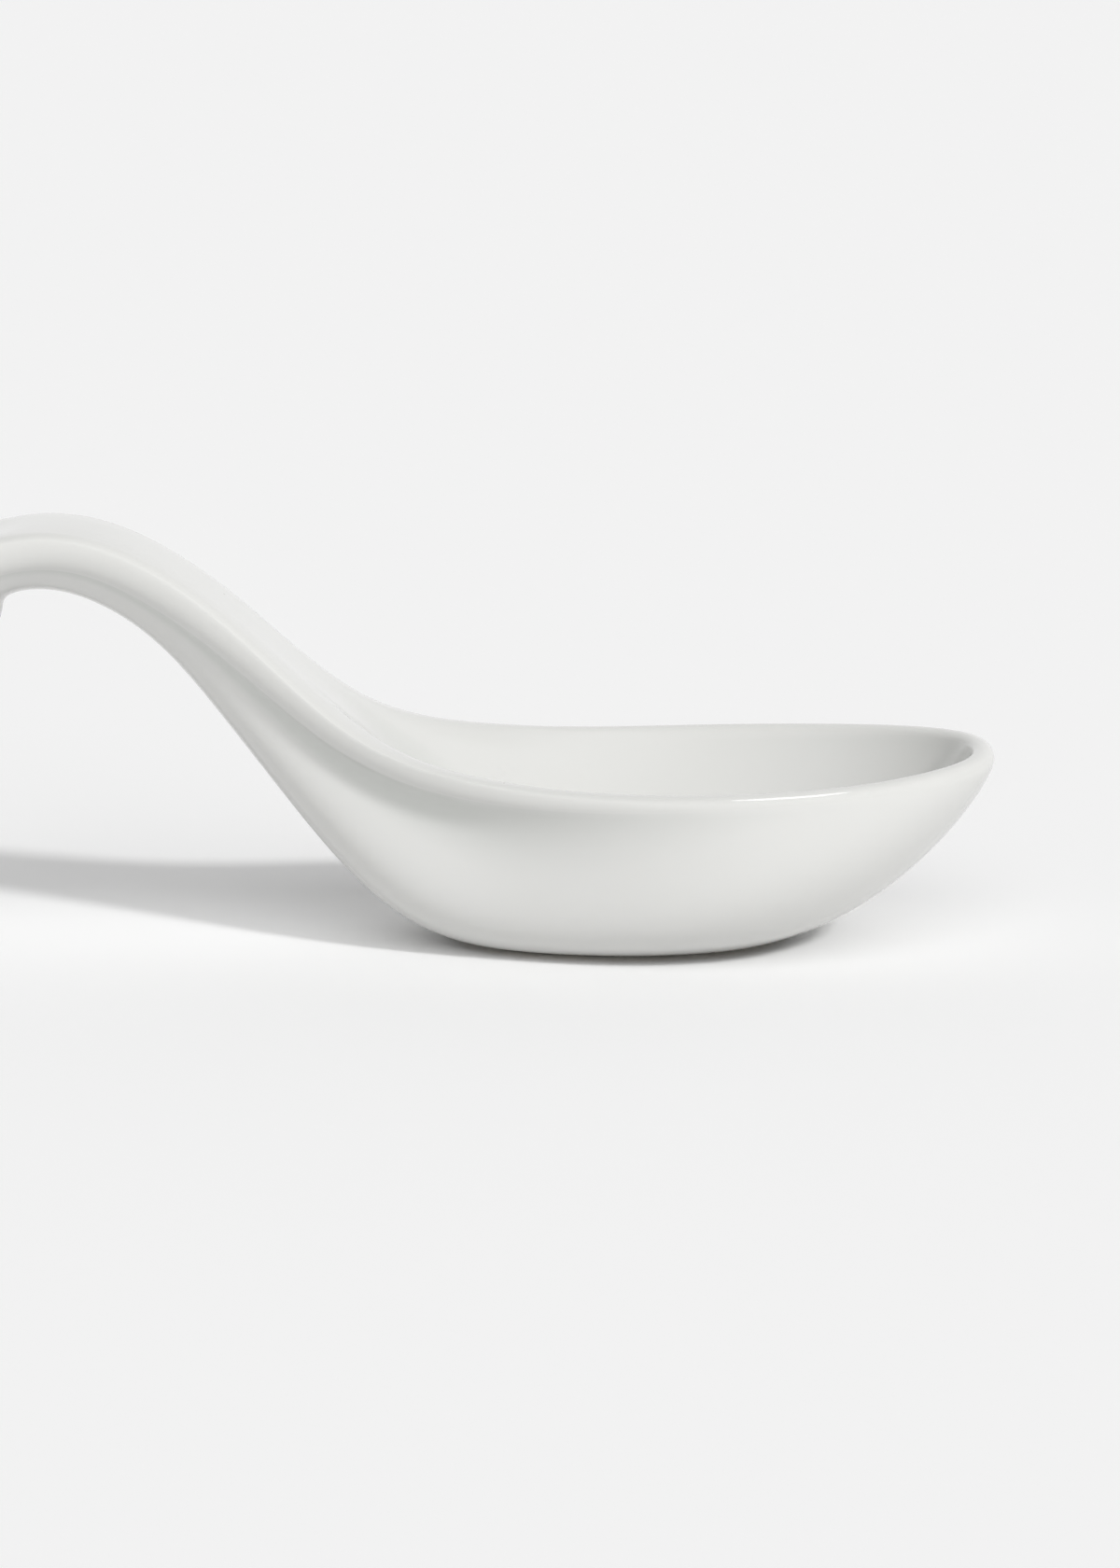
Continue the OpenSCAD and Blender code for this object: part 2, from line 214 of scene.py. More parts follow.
# %% [markdown]
# ## Smooth curves
# A B-spline runs smoothly past its control points without passing through them, so a small error in
# one row makes no kink. Blender has such curves as objects, but here whole grids of points are needed
# at once, and the formula is short. The other helpers give directions, soft changes from one value to
# another, and the two curves that a section is made of.

# %% Curves and directions
MIRROR = np.array([1.0, -1.0, 1.0])


def along(table, u, slope=False):
    """Cubic B-spline over the table's rows at u, or its slope. Each point is a weighted mean of four
    rows, and past both ends the rows go on as their mirror image across the plane of symmetry."""
    sign = MIRROR if table.shape[1] == 3 else 1.0
    wide = np.vstack([table[1] * sign, table, table[-2] * sign])
    i = np.clip(np.floor(u).astype(int), 0, len(table) - 2)
    f = u - i
    g = 1 - f
    if slope:
        weights = (-g * g / 2, (3 * f - 4) * f / 2, -(3 * g - 4) * g / 2, f * f / 2)
    else:
        weights = (g**3 / 6, (3 * f**3 - 6 * f**2 + 4) / 6, (3 * g**3 - 6 * g**2 + 4) / 6, f**3 / 6)
    return sum(w[..., None] * wide[i + k] for k, w in enumerate(weights))


def unit(v):
    """Vectors of length one."""
    return v / np.linalg.norm(v, axis=-1, keepdims=True)


def eased(span, x):
    """Rises smoothly from 0 to 1 as x crosses the span: 6 f^5 - 15 f^4 + 10 f^3."""
    f = np.clip((x - span[0]) / (span[1] - span[0]), 0, 1)
    return f**3 * (f * (6 * f - 15) + 10)


def heading(table, u, step=0.5):
    """Direction of the keel or the bed, over a long step so that it holds at the ends too."""
    return unit(along(table, np.minimum(u + step, LAST)) - along(table, np.maximum(u - step, 0)))


def reach(a, b, way):
    """Distance from b to a along a direction."""
    return np.abs(((a - b) * way).sum(-1, keepdims=True))


def squared(turn, power):
    """Outward and upward share of a point of the rolled edge at an angle: cosine and sine, each with
    its size raised to a power, so that the circle bulges towards its corners."""
    return tuple(np.sign(f(turn)) * np.abs(f(turn)) ** power for f in (np.cos, np.sin))


def bezier(points, v):
    """Cubic Bezier curve from the first of four points to the last, drawn towards the two between:
    w^3 a + 3 w^2 v b + 3 w v^2 c + v^3 d, where w is 1 - v."""
    w = 1 - v
    return points[0] * w**3 + 3 * points[1] * w * w * v + 3 * points[2] * w * v * v + points[3] * v**3


rim_ends = along(rim_rows, np.array([0.0, LAST]))
print("the rim line runs from x", rim_ends[0, 0].round(1), "to", rim_ends[1, 0].round(1), "mm")

# %% [markdown]
# ## How full the section is
# Cut across, the spoon is a cup with a rolled edge. Walls that stay level for long give it a full
# bottom, and walls that drop straight from the rim give it upright sides. Near the bowl's tip the edge
# is a round roll. Towards the neck and the handle it gets a tight upper corner, and its side leans in
# below. How full each part is shows in the light on it, so these numbers were found by comparing the
# light with the photograph's.

# %% Fullness
# The walls at even steps from the tip to the end: how far the outside runs level from the keel, how
# far it drops straight from the rim, and how far the inside does the same from the bed and the rim.
wall_shares = np.array([
    [0.3, 0.05, 0.44, 0.26], [1.05, 0.3, 0.5, 0.31], [1.28, 0.4, 0.53, 0.36], [1.24, 0.38, 0.72, 0.38],
    [0.74, 0.22, 0.77, 0.31], [0.62, 0.28, 0.66, 0.3], [0.71, 0.36, 0.6, 0.3], [0.58, 0.38, 0.6, 0.3],
])
# Where, from 0 at the tip to 1 at the end, the rim swells into the handle's edge, its inside turns
# level with the handle's top, and its side tucks under.
swell_shares, level_shares, tuck_shares = (0.36, 0.64), (0.27, 0.49), (0.13, 0.43)
# Angles from straight outward: where the roll stops inside, on the bowl and on the handle, and how far
# below it starts on the handle.
rim_over, edge_over, edge_under = np.radians([159, 85, 66])
# How square the rolled edge is on the bowl and on the handle: 1 is a round roll, and a lower power
# gives it a flatter top and side with a smaller corner between them.
rim_power, edge_power = 0.93, 0.9
# Where the edge tucks under: how far its widest line lies above its middle on the bowl and on the
# handle, and how far the edge hangs below that middle, as shares of its radius.
rim_lift_share, edge_lift_share, hang_share = 0.8, 0.6, 1.05
print("fullness given at", len(wall_shares), "places from the tip to the end")

# %% [markdown]
# ## From lines to a section
# Across the lines, each half section is three pieces: an outside wall from the keel to the rim, a
# rolled edge, and an inside wall from the rim to the bed. The walls are Bezier curves that leave
# the keel and the bed level, so the two halves meet without a crease, and that leave the rolled
# edge along its tangent, so there is no crease there either.

# %% Half section
SIDEWAYS = np.array([0.0, 1.0, 0.0])


def section(u):
    """Half section at u: the two walls as Bezier points, and the rolled edge between them as a
    function of an angle, with the angles where it starts and ends."""
    s = u / LAST
    swell = eased(swell_shares, s)[..., None]
    r = mix(rim_r, edge_r, swell)
    power = mix(rim_power, edge_power, swell)
    over = mix(rim_over, edge_over, eased(level_shares, s)[..., None])
    tucked = eased(tuck_shares, s)[..., None]
    under, lift = edge_under * tucked, mix(rim_lift_share, edge_lift_share, swell) * tucked
    full = along(wall_shares, s * (len(wall_shares) - 1))
    middle, keel, bed = (along(table, u) for table in (rim_rows, keel_rows, bed_rows))
    run = unit(along(rim_rows, u, slope=True))
    out = unit(np.stack([run[..., 1], -run[..., 0], 0 * run[..., 0]], -1))
    up = np.cross(out, run)
    side = out * SIDEWAYS

    def edge_point(turn):
        """Point of the rolled edge, and the direction in which it runs on from there."""
        below = turn < 0
        bulge = np.where(below, mix(power, 1, tucked), power)
        tall = np.where(below, hang_share + lift, 1 - lift)
        across, rise = squared(turn, bulge)
        run_out, run_up = squared(turn, 2 - bulge)
        point = middle + r * (across * out + (lift + tall * rise) * up)
        return point, unit(tall * run_out * up - run_up * out)

    keel_way = side - out[..., :1] * heading(keel_rows, u)
    bed_way = side - out[..., :1] * heading(bed_rows, u)
    outer, outer_way = edge_point(-under)
    inner, inner_way = edge_point(over)
    wall = (keel, keel + full[..., 0:1] * reach(outer, keel, keel_way) * keel_way,
            outer - full[..., 1:2] * reach(outer, keel, outer_way) * outer_way, outer)
    inside = (inner, inner + full[..., 3:4] * reach(inner, bed, inner_way) * inner_way,
              bed + full[..., 2:3] * reach(inner, bed, bed_way) * bed_way, bed)
    return wall, inside, edge_point, (-under, over)


roll_start, roll_stop = section(np.array([WIDEST, ARCH], float))[3]
print("the edge turns through", np.degrees(roll_stop - roll_start).ravel().round().tolist(), "degrees")

# %% [markdown]
# ## From sections to a surface
# One parameter, u, runs along the lines and another, v, runs round the section. Every point of the
# spoon is a formula of the two, and numpy works out all of them at once. Where the lines run together,
# at the tip and at the end, the slopes along u and v vanish, so the normal is measured a little way off.

# %% Points and normals
# Places of v round the section. The keel is at 0.
ROLL_V, INSIDE_V, BED_V = 1, 2, 3


def spoon(u, v):
    """Point of the glazed surface: v is 0 at the keel, 1 to 2 round the rolled edge, 3 at the bed."""
    wall, inside, edge_point, (start, stop) = section(u)
    v = v[..., None]
    roll = edge_point(mix(start, stop, v - ROLL_V))[0]
    return np.where(v <= ROLL_V, bezier(wall, v), np.where(v < INSIDE_V, roll, bezier(inside, v - INSIDE_V)))


def outward(u, v, step=0.02, off_end=0.25, off_line=0.06):
    """Outward normal: the cross product of the slopes along u and v, measured a little way off the
    corners where the lines run together."""
    a = np.clip(u, off_end, LAST - off_end)
    b = np.clip(v, off_line, BED_V - off_line)
    along_u = spoon(a + step, b) - spoon(a - step, b)
    along_v = spoon(a, b + step) - spoon(a, b - step)
    flat = (u == 0) | (u == LAST) | (v == 0) | (v == BED_V)
    return unit(np.cross(along_u, along_v) * np.where(flat[..., None], 1 - SIDEWAYS, 1))


probe_u = np.array([0, WIDEST, ARCH, LAST], float)
probe = spoon(probe_u, np.full_like(probe_u, (ROLL_V + INSIDE_V) / 2))
print("points on the rim, mm:", probe.round(1).tolist())

# %% [markdown]
# ## Where the surface passes a height
# The foot is ground flat at the height of the table, and the glaze stops at another height. A Boolean
# could cut both, but it leaves uneven faces along the cut. Here a line of points runs exactly along
# the cut instead, and its place in each row is found by halving an interval many times.

# %% Heights


def crossing(height, start, stop, z, halvings=40):
    """Where a rising height function reaches z, by halving the interval, or its start if it is above z.
    The upper end of the last interval is given, so the height there is never a rounding below z."""
    lo, hi = np.array(start, float), np.array(stop, float)
    below = height(lo) < z
    for _ in range(halvings):
        mid = (lo + hi) / 2
        under = height(mid) < z
        lo, hi = np.where(under, mid, lo), np.where(under, hi, mid)
    return np.where(below, hi, start)


def wall_level(u, z):
    """The v at which the outside wall passes the height z."""
    return crossing(lambda v: spoon(u, v)[..., 2], np.zeros_like(u), np.ones_like(u), z)


def keel_level(z):
    """The u at which the keel, climbing towards the arch, passes the height z."""
    return float(crossing(lambda u: along(keel_rows, u)[..., 2], 0.0, ARCH, z))


print("the glaze stops at row", round(keel_level(bare_h), 2), "of the keel")

# %% [markdown]
# ## Putting a surface into a mesh
# A grid of points becomes a mesh of quads. The half with positive y is followed by its mirror image
# run backwards, so each row goes all the way round the section, and points that fall together at
# the tip, at the end and on the keel are merged. The mesh is filled with foreach_set, which takes
# whole arrays and is much quicker than adding the vertices one at a time.

# %% Grid to mesh
MERGE, SLIVER = 1e-4 * MM, 1e-5 * MM


def both_sides(half):
    """Half grid from keel to bed, then its mirror image from bed to keel."""
    return np.concatenate([half, half[:, -2::-1] * MIRROR], axis=1)


def quads(rows_n, columns_n):
    """Corner numbers of the quads of a grid, wound so that they face along du x dv."""
    first = np.arange(rows_n - 1)[:, None] * columns_n + np.arange(columns_n - 1)[None, :]
    corners = [first, first + columns_n, first + columns_n + 1, first + 1]
    return np.stack(corners, -1).reshape(-1, 4)


def make_piece(name, points_mm, faces, hollow=None):
    """A smooth piece from points in millimetres and quads, with its doubles merged. hollow is one
    number per point, kept as an attribute that the materials can read."""
    mesh = bpy.data.meshes.new(name)
    mesh.vertices.add(len(points_mm))
    mesh.vertices.foreach_set("co", (points_mm * MM).astype(np.float32).ravel())
    mesh.loops.add(faces.size)
    mesh.loops.foreach_set("vertex_index", faces.astype(np.int32).ravel())
    mesh.polygons.add(len(faces))
    mesh.polygons.foreach_set("loop_start", np.arange(0, faces.size, 4, dtype=np.int32))
    mesh.update(calc_edges=True)
    if hollow is not None:
        layer = mesh.attributes.new("hollow", "FLOAT", "POINT")
        layer.data.foreach_set("value", hollow.astype(np.float32).ravel())
    work = bmesh.new()
    work.from_mesh(mesh)
    bmesh.ops.remove_doubles(work, verts=work.verts, dist=MERGE)
    bmesh.ops.dissolve_degenerate(work, edges=work.edges, dist=SLIVER)
    open_edges = sum(1 for edge in work.edges if not edge.is_manifold)
    volume = work.calc_volume(signed=True) / MM**3
    work.to_mesh(mesh)
    work.free()
    mesh.polygons.foreach_set("use_smooth", np.ones(len(mesh.polygons), bool))
    piece = bpy.data.objects.new(name, mesh)
    bpy.context.scene.collection.objects.link(piece)
    print(name, len(mesh.polygons), "faces,", open_edges, "open edges,", round(volume), "mm3")
    return piece


# %% [markdown]
# ## The casting
# The casting is what the potter's mould gives: the whole spoon, a glaze thickness under the
# finished surface, with its round bottom ground flat to make the foot. Almost all of it is hidden
# by the glaze. What shows is the foot, which is left bare so that the spoon doesn't stick to the
# kiln shelf, and a narrow band around it. The rows crowd together towards the heel of the foot, so
# that the foot's outline is round there.

# %% Casting
# Rows before and behind the heel, and steps round each half section.
BOWL_ROWS, HANDLE_ROWS = 90, 110
FOOT_STEPS, WALL_STEPS, ROLL_STEPS, INSIDE_STEPS = 8, 28, 18, 26


def row_places(heel):
    """Places of the rows along the lines: crowding towards the heel, then even to the handle's end."""
    share = np.linspace(0, 1, BOWL_ROWS, endpoint=False)
    return np.concatenate([heel * np.sin(share * math.pi / 2), np.linspace(heel, LAST, HANDLE_ROWS)])


def columns(stops, counts):
    """Places round the section, row by row: even steps from each stop to the next."""
    shares = [np.linspace(0, 1, n, endpoint=False) for n in counts]
    spans = [mix(a[:, None], b[:, None], s) for a, b, s in zip(stops, stops[1:], shares)]
    return np.concatenate([*spans, stops[-1][:, None]], axis=1)


def core(u, v):
    """Point of the bare casting: a glaze thickness under the finished surface."""
    return spoon(u, v) - glaze_t * outward(u, v)


u = row_places(keel_level(glaze_t))
one = np.ones_like(u)
upper_stops = [ROLL_V * one, INSIDE_V * one, BED_V * one]
upper_steps = [WALL_STEPS, ROLL_STEPS, INSIDE_STEPS]
foot_v = crossing(lambda v: core(u, v)[..., 2], 0 * one, one, 0.0)
v = columns([0 * one, foot_v, *upper_stops], [FOOT_STEPS, *upper_steps])
points = core(np.broadcast_to(u[:, None], v.shape), v)
ground = points[:, : FOOT_STEPS + 1]
ground[..., 2] = np.where(foot_v[:, None] > 0, 0, ground[..., 2])
grid = both_sides(points)
casting = make_piece("casting", grid.reshape(-1, 3), quads(*grid.shape[:2]))
foot_x = ground[foot_v > 0][..., 0]
print("foot from x", foot_x.min().round(1), "to", foot_x.max().round(1), "mm")

# %% [markdown]
# ## The glaze
# The glaze is a skin of glass, melted on. It is a closed shell here, with an outside and an inside
# that meet along its lower edge, where the melted glass draws back into a round bead. A Solidify
# modifier could thicken a surface, but it wouldn't round that edge. Melted glaze runs off sharp
# edges and gathers in hollows. Each point also keeps how hollow the surface is there: the bend across
# the section, from -1 on an edge to 1 in a hollow. The tint darkens the hollows with it, partly as
# pooled glaze and partly as painted shade in the groove under the edge, and darkens the rolled edges
# a little as painted shade.

# %% Glaze
BEAD_STEPS = 8
# The bead's height, the share of the wall that its finer steps take, and the radius of a full hollow.
bead_h, bead_share, hollow_r = 0.25, 0.08, 6.0


def hollowness(u, v, step=0.05):
    """Bend of the section times a radius, positive where the surface curves towards its normal: the
    second difference along v over the square of the distance stepped."""
    b = np.clip(v, step, BED_V - step)
    before, here, after = spoon(u, b - step), spoon(u, b), spoon(u, b + step)
    bend = ((before + after - 2 * here) * outward(u, b)).sum(-1)
    stepped = (((after - before) / 2) ** 2).sum(-1)
    return np.clip(hollow_r * bend / stepped, -1, 1)


u = row_places(keel_level(bare_h))
bare_v = wall_level(u, bare_h)
v = columns([bare_v, mix(bare_v, one, bead_share), *upper_stops], [BEAD_STEPS, *upper_steps])
uu = np.broadcast_to(u[:, None], v.shape)
normal = outward(uu, v)
skin = spoon(uu, v)
rise = np.where(v < ROLL_V, np.clip((skin[..., 2] - bare_h) / bead_h, 0, 1), 1)
thinned = glaze_t * (1 - np.sqrt(1 - (1 - rise) ** 2))
outer = both_sides(skin - thinned[..., None] * normal)
inner = both_sides(skin - glaze_t * normal)
bend = hollowness(uu, v)
bend = np.concatenate([bend, bend[:, -2::-1]], axis=1)
faces = quads(*outer.shape[:2])
glaze = make_piece(
    "glaze",
    np.concatenate([outer.reshape(-1, 3), inner.reshape(-1, 3)]),
    np.concatenate([faces, faces[:, ::-1] + bend.size]),
    np.concatenate([bend.ravel(), bend.ravel()]),
)
print("bend across the section from", bend.min().round(2), "to", bend.max().round(2))

# %% [markdown]
# ## Colours and nodes
# Colours are written as the hex values that a picture editor shows. Blender's shaders work in
# linear light, so one function converts them. A second small function adds a node: its own
# settings go in by name, and each input gets either a plain value or a socket to link.

# %% Colour and node helpers


def colour(code):
    """Linear RGBA from an sRGB hex value: c / 12.92 for dark values, ((c + 0.055) / 1.055)^2.4 above."""
    srgb = [int(code[i : i + 2], 16) / 255 for i in (1, 3, 5)]
    return [c / 12.92 if c <= 0.04045 else ((c + 0.055) / 1.055) ** 2.4 for c in srgb] + [1.0]


def add(tree, kind, inputs=None, **settings):
    """Adds a node to a tree, with its settings, and with its inputs set to values or linked."""
    node = tree.nodes.new(kind)
    for name, value in settings.items():
        setattr(node, name, value)
    for name, value in (inputs or {}).items():
        if isinstance(value, bpy.types.NodeSocket):
            tree.links.new(value, node.inputs[name])
        else:
            node.inputs[name].default_value = value
    return node


def new_material(name):
    """An empty node material, and its tree."""
    material = bpy.data.materials.new(name)
    material.use_nodes = True
    material.node_tree.nodes.clear()
    return material, material.node_tree


def per_mm(size):
    """Texture scale at which one feature is this many millimetres across."""
    return 1 / (size * MM)


# A Mix node has several inputs called A and B and several results. These are the ones for colours.
MIX_A, MIX_B, MIX_RESULT = 6, 7, 2
print("glaze white in linear light:", [round(c, 3) for c in colour("#DEDEDC")[:3]])

# %% [markdown]
# ## Glazed porcelain
# Porcelain is a white clay with glass melted through it, and its clear glaze is a second layer of
# glass on top. The eye gets a soft white from the body, with a touch of grey green where the glaze
# is deep, and a sharp, small highlight from the glass. A melted surface is never quite flat: it has
# slow ripples and a faint orange peel, which break the highlights. Iron grains in the clay melt
# through as a few tiny specks. The tint follows the bend of the surface through the attribute made
# above: the hollows get darker, partly as pooled glaze and partly as painted shade in the groove
# under the edge, and the rolled edges get a little darker as painted shade.

# %% Tint of the glaze
# Sizes in millimetres: the clouds in the white, and the cells that may each hold one speck.
cloud_w, speck_cell = 18, 5
glazed, tree = new_material("glazed_porcelain")
place = add(tree, "ShaderNodeTexCoord").outputs["Object"]
clouds = add(tree, "ShaderNodeTexNoise", {
    "Vector": place, "Scale": per_mm(cloud_w), "Detail": 2.0,
}).outputs["Fac"]
white = add(tree, "ShaderNodeMix", {
    "Factor": clouds, MIX_A: colour("#DEDEDC"), MIX_B: colour("#DBDBD8"),
}, data_type="RGBA").outputs[MIX_RESULT]
bend_at = add(tree, "ShaderNodeAttribute", attribute_name="hollow").outputs["Fac"]
# Darker grey green towards the hollows: partly glaze that pooled there, partly painted shade in the groove
# under the edge.
pooling_and_shade = add(tree, "ShaderNodeMapRange", {
    "Value": bend_at, "From Min": 0.05, "From Max": 0.9, "To Min": 0.0, "To Max": 0.8,
}).outputs["Result"]
pooled_and_shaded = add(tree, "ShaderNodeMix", {
    "Factor": pooling_and_shade, MIX_A: white, MIX_B: colour("#D0D2CE"),
}, data_type="RGBA").outputs[MIX_RESULT]
# Painted shade: the rolled edges, which bend outward most, are made a little darker.
painted_edge_shade = add(tree, "ShaderNodeMapRange", {
    "Value": bend_at, "From Min": -0.5, "From Max": -1.0, "To Min": 0.0, "To Max": 0.6,
}).outputs["Result"]
edge_shaded = add(tree, "ShaderNodeMix", {
    "Factor": painted_edge_shade, MIX_A: pooled_and_shaded, MIX_B: colour("#DADAD7"),
}, data_type="RGBA").outputs[MIX_RESULT]
# Each cell has one grain, about a third of a millimetre across at most, and a random colour. Only the
# cells whose red is high keep their grain.
cells = add(tree, "ShaderNodeTexVoronoi", {"Vector": place, "Scale": per_mm(speck_cell)})
grain = add(tree, "ShaderNodeMapRange", {
    "Value": cells.outputs["Distance"], "From Min": 0.02, "From Max": 0.035, "To Min": 0.7, "To Max": 0.0,
}).outputs["Result"]
chance = add(tree, "ShaderNodeSeparateColor", {"Color": cells.outputs["Color"]}).outputs["Red"]
kept = add(tree, "ShaderNodeMapRange", {"Value": chance, "From Min": 0.7, "From Max": 0.75}).outputs["Result"]
speck = add(tree, "ShaderNodeMath", {0: grain, 1: kept}, operation="MULTIPLY").outputs[0]
tint = add(tree, "ShaderNodeMix", {
    "Factor": speck, MIX_A: edge_shaded, MIX_B: colour("#8C8478"),
}, data_type="RGBA").outputs[MIX_RESULT]
print("tint of the glaze from", len(tree.nodes), "nodes")

# %% [markdown]
# ## The melted surface
# The ripples are a few millimetres across and only some thousandths of a millimetre high, so they
# never show as a shape and are left to bump. The orange peel is finer and lower still. The gloss
# varies a little with the clouds in the white, as it does on a glaze that melted unevenly.

# %% Surface of the glaze
# Widths and heights in millimetres.
ripple_w, peel_w = 7, 1.2
ripple_h, peel_h = 0.008, 0.0006
ripple = add(tree, "ShaderNodeTexNoise", {"Vector": place, "Scale": per_mm(ripple_w), "Detail": 1.0})
waves = add(tree, "ShaderNodeBump", {
    "Height": ripple.outputs["Fac"], "Strength": 1.0, "Distance": ripple_h * MM,
})
peel = add(tree, "ShaderNodeTexNoise", {"Vector": place, "Scale": per_mm(peel_w), "Detail": 1.0})
surface = add(tree, "ShaderNodeBump", {
    "Height": peel.outputs["Fac"], "Strength": 1.0, "Distance": peel_h * MM, "Normal": waves.outputs[0],
})
gloss = add(tree, "ShaderNodeMapRange", {
    "Value": clouds, "From Min": 0.3, "From Max": 0.7, "To Min": 0.04, "To Max": 0.07,
})
glass = add(tree, "ShaderNodeBsdfPrincipled", {
    "Base Color": tint, "Roughness": gloss.outputs["Result"], "IOR": 1.5, "Normal": surface.outputs[0],
})
add(tree, "ShaderNodeOutputMaterial", {"Surface": glass.outputs[0]})
print(glazed.name, len(tree.nodes), "nodes")

# %% [markdown]
# ## Bare porcelain
# Where the glaze stops, the fired clay shows: matt, dry and a little warmer, with a fine grain that
# the grinding of the foot leaves. The grain is finer than a pixel here, so it is drawn a few times
# coarser than a real grinding disc would leave it.

# %% Bare porcelain
# Sizes in millimetres: the stains in the clay, and the width and height of the grain.
stain_w, grit_w, grit_h = 9, 0.5, 0.03
bare, tree = new_material("ground_bare_porcelain")
place = add(tree, "ShaderNodeTexCoord").outputs["Object"]
stains = add(tree, "ShaderNodeTexNoise", {
    "Vector": place, "Scale": per_mm(stain_w), "Detail": 3.0,
}).outputs["Fac"]
clay = add(tree, "ShaderNodeMix", {
    "Factor": stains, MIX_A: colour("#ECE8DE"), MIX_B: colour("#DDD6C8"),
}, data_type="RGBA").outputs[MIX_RESULT]
grit = add(tree, "ShaderNodeTexNoise", {
    "Vector": place, "Scale": per_mm(grit_w), "Detail": 2.0,
}).outputs["Fac"]
dry = add(tree, "ShaderNodeMapRange", {
    "Value": grit, "From Min": 0.3, "From Max": 0.7, "To Min": 0.68, "To Max": 0.85,
}).outputs["Result"]
rough = add(tree, "ShaderNodeBump", {"Height": grit, "Strength": 1.0, "Distance": grit_h * MM})
body = add(tree, "ShaderNodeBsdfPrincipled", {
    "Base Color": clay, "Roughness": dry, "IOR": 1.5, "Normal": rough.outputs[0],
})
add(tree, "ShaderNodeOutputMaterial", {"Surface": body.outputs[0]})
print(bare.name, len(tree.nodes), "nodes")

# %% [markdown]
# ## Dressing the frame
# Each surface stands for the imported solid of the same piece, rides on the spoon's one body and
# takes its material.

# %% Dress the frame
for piece, node, slot, material in (
    (casting, "porcelain_body", "biscuit_porcelain", bare),
    (glaze, "glaze_coat", "porcelain_glaze", glazed),
):
    piece.data.materials.append(material)
    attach(piece, "root")
    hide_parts(node)
print("pieces on the frame:", casting.name, glaze.name)

# %% [markdown]
# ## The floor
# The photograph looks as if it was taken on a pale sheet. From this height a flat sheet fills the
# picture, so no backdrop is needed. A real sheet ends not far from the spoon, and this one is much
# larger, so it throws back a little less light than it shows. The Light Path node tells the rays that
# see the sheet from the rays that it lights.

# %% Floor
FLOOR_SIZE = 6.0
half = FLOOR_SIZE / 2
corners = [(-half, -half, 0), (half, -half, 0), (half, half, 0), (-half, half, 0)]
floor_mesh = bpy.data.meshes.new("floor")
floor_mesh.from_pydata(corners, [], [(0, 1, 2, 3)])
floor = bpy.data.objects.new("floor", floor_mesh)
bpy.context.scene.collection.objects.link(floor)
paper, tree = new_material("pale_paper_floor")
rays = add(tree, "ShaderNodeLightPath").outputs
seen = add(tree, "ShaderNodeMath", {0: rays["Is Camera Ray"], 1: rays["Is Glossy Ray"]}, operation="MAXIMUM")
seen = add(tree, "ShaderNodeMath", {0: seen.outputs[0], 1: rays["Is Transmission Ray"]}, operation="MAXIMUM")
shown = add(tree, "ShaderNodeBsdfDiffuse", {"Color": colour("#FBFBFB")})
bounce = add(tree, "ShaderNodeBsdfDiffuse", {"Color": colour("#E8E8E8")})
sheet = add(tree, "ShaderNodeMixShader", {0: seen.outputs[0], 1: bounce.outputs[0], 2: shown.outputs[0]})
add(tree, "ShaderNodeOutputMaterial", {"Surface": sheet.outputs[0]})
floor_mesh.materials.append(paper)
print("floor", FLOOR_SIZE, "m across")

# %% [markdown]
# ## The tent
# The soft light looks like that of a light tent, bright behind and in front of the spoon and dark on
# top. Area lamps could stand for the tent's walls, but their light falls off across the sheet. A world
# whose brightness depends only on the direction lights the sheet evenly instead: the size of the
# direction's share along each wall, times that wall's brightness.

# %% Tent
# Brightness of the walls to the right and left of the spoon, behind it and in front.
TENT_RIGHT, TENT_LEFT, TENT_BACK, TENT_FRONT = 0.21, 0.33, 0.95, 0.59
# Summed over the half of the world above the floor, a tent with walls of brightness 1 gives the floor
# 8/3, where an even white world gives it pi.
TENT_ON_FLOOR = 8 / 3 / math.pi
walls = (TENT_RIGHT + TENT_LEFT) / 2, (TENT_BACK + TENT_FRONT) / 2, 0
lean = (TENT_RIGHT - TENT_LEFT) / 2, (TENT_BACK - TENT_FRONT) / 2, 0
world = bpy.data.worlds.new("soft_studio")
bpy.context.scene.world = world
world.use_nodes = True
tree = world.node_tree
tree.nodes.clear()
way = add(tree, "ShaderNodeTexCoord").outputs["Generated"]
spread = add(tree, "ShaderNodeVectorMath", {0: way}, operation="ABSOLUTE").outputs["Vector"]
even = add(tree, "ShaderNodeVectorMath", {0: spread, 1: walls}, operation="DOT_PRODUCT").outputs["Value"]
uneven = add(tree, "ShaderNodeVectorMath", {0: way, 1: lean}, operation="DOT_PRODUCT").outputs["Value"]
level = add(tree, "ShaderNodeMath", {0: even, 1: uneven}, operation="ADD")
sky = add(tree, "ShaderNodeBackground", {"Color": colour("#FFFFFF"), "Strength": level.outputs[0]})
add(tree, "ShaderNodeOutputWorld", {"Surface": sky.outputs[0]})
tent_share = (TENT_RIGHT + TENT_LEFT + TENT_BACK + TENT_FRONT) / 4 * TENT_ON_FLOOR
print("light of the tent on the floor:", round(tent_share, 2))

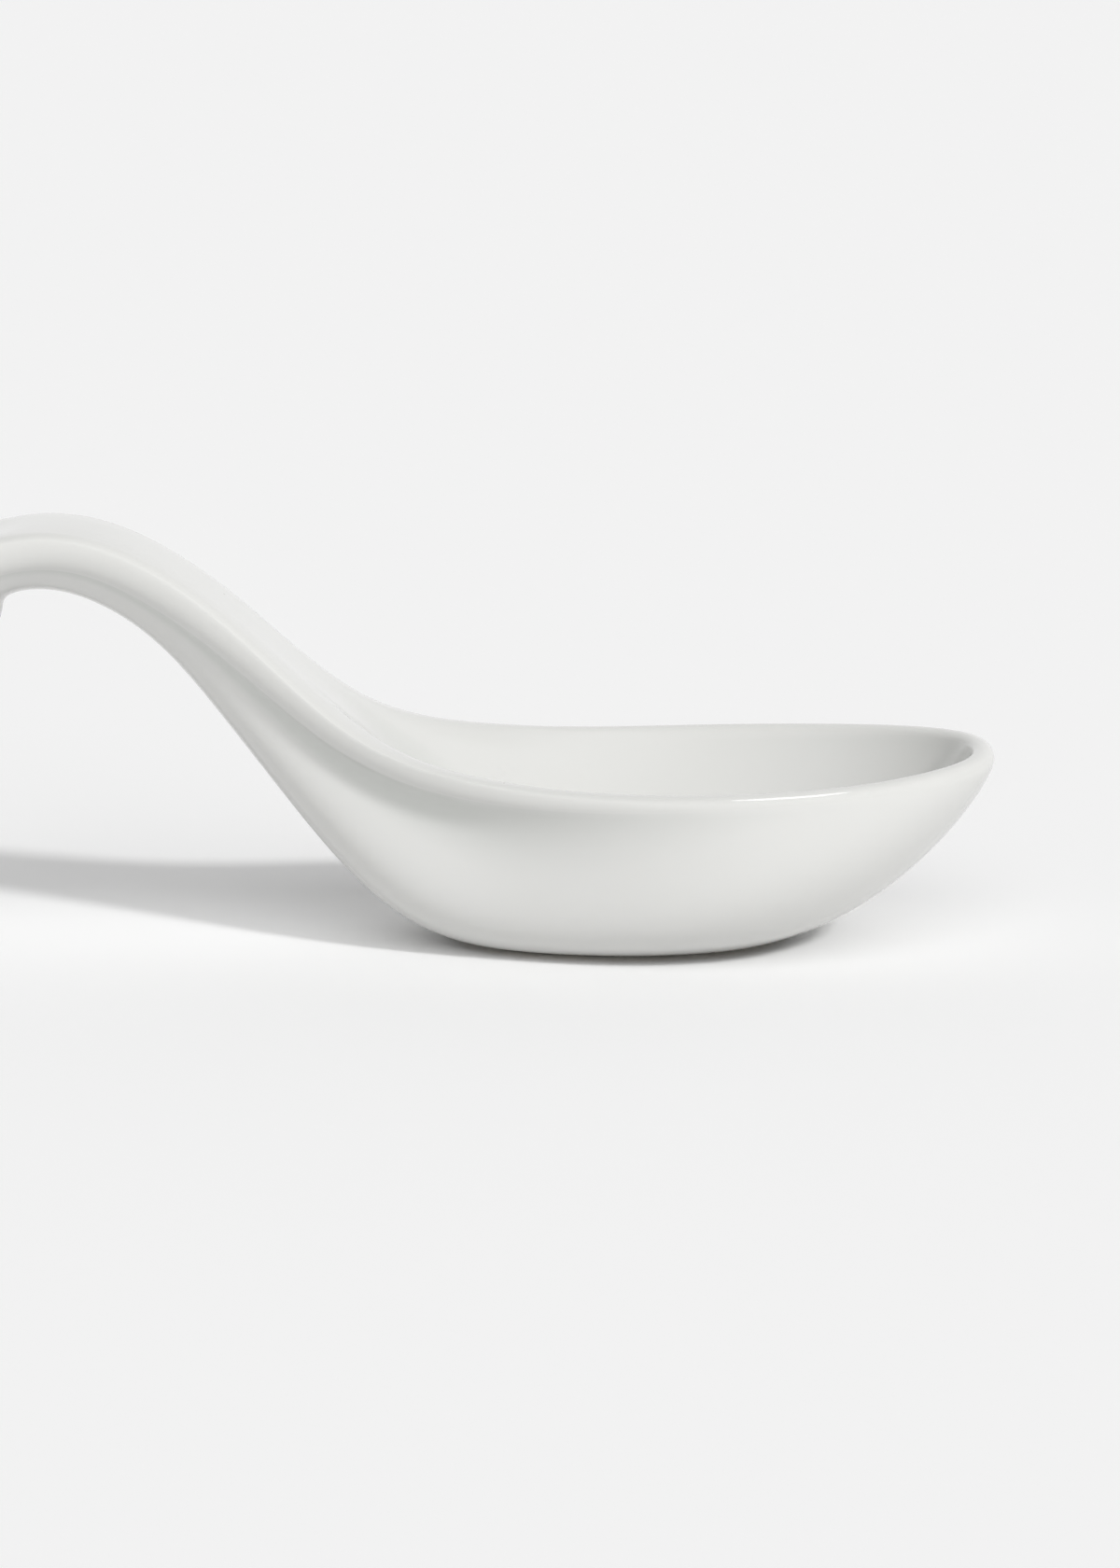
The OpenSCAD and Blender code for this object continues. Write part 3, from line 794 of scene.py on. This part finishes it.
# %% [markdown]
# ## The lamps
# A key sun from the front right casts the long shadow, and a broad fill sun softens it. Their discs
# would show in the glaze, so they are left out of reflections. One small lamp near the bowl does the
# opposite: it gives only highlights, above all the one on the rim. Suns are chosen for the first two
# because a sun lights every part of the sheet alike, and the small lamp is a spot, so that its light
# stays near the bowl.

# %% Lamps
# What the suns add on the floor, as shares of the plain level.
KEY_SHARE, FILL_SHARE = 0.29, 0.19
# The small lamp: the point on the near rim that it is aimed at, how far off it is, its size and cone.
NEAR_RIM = Vector((20, -20, 22)) * MM
GLINT_DISTANCE, GLINT_RADIUS = 100 * MM, 22 * MM
GLINT_CONE = math.radians(24)
GLINT_POWER = 0.12


def lit_from(azimuth, elevation):
    """Turn of a lamp whose light comes from a compass direction, in degrees from +X towards +Y, and
    from so many degrees above the floor."""
    return Euler((0, math.radians(90 - elevation), math.radians(azimuth)), "XYZ")


def sun(name, azimuth, elevation, spread, irradiance):
    """A sun lamp as wide as the spread, in degrees. irradiance is what it adds on the floor, as a
    share of the plain level, so its strength is that over the sine of its elevation."""
    lamp = bpy.data.objects.new(name, bpy.data.lights.new(name, "SUN"))
    lamp.data.energy = irradiance * math.pi / math.sin(math.radians(elevation))
    lamp.data.angle = math.radians(spread)
    lamp.rotation_euler = lit_from(azimuth, elevation)
    bpy.context.scene.collection.objects.link(lamp)
    return lamp


key = sun("key", azimuth=-44, elevation=36, spread=7, irradiance=KEY_SHARE)
fill = sun("fill", azimuth=-80, elevation=45, spread=50, irradiance=FILL_SHARE)
key.visible_glossy = fill.visible_glossy = False
glint = bpy.data.objects.new("glint", bpy.data.lights.new("glint", "SPOT"))
glint.data.energy = GLINT_POWER
glint.data.shadow_soft_size = GLINT_RADIUS
glint.data.spot_size = GLINT_CONE
glint.rotation_euler = lit_from(azimuth=-40, elevation=76)
glint.location = NEAR_RIM + glint.rotation_euler.to_matrix() @ Vector((0, 0, GLINT_DISTANCE))
glint.visible_diffuse = glint.visible_camera = False
bpy.context.scene.collection.objects.link(glint)
print("light on the floor:", round(tent_share + KEY_SHARE + FILL_SHARE, 2))
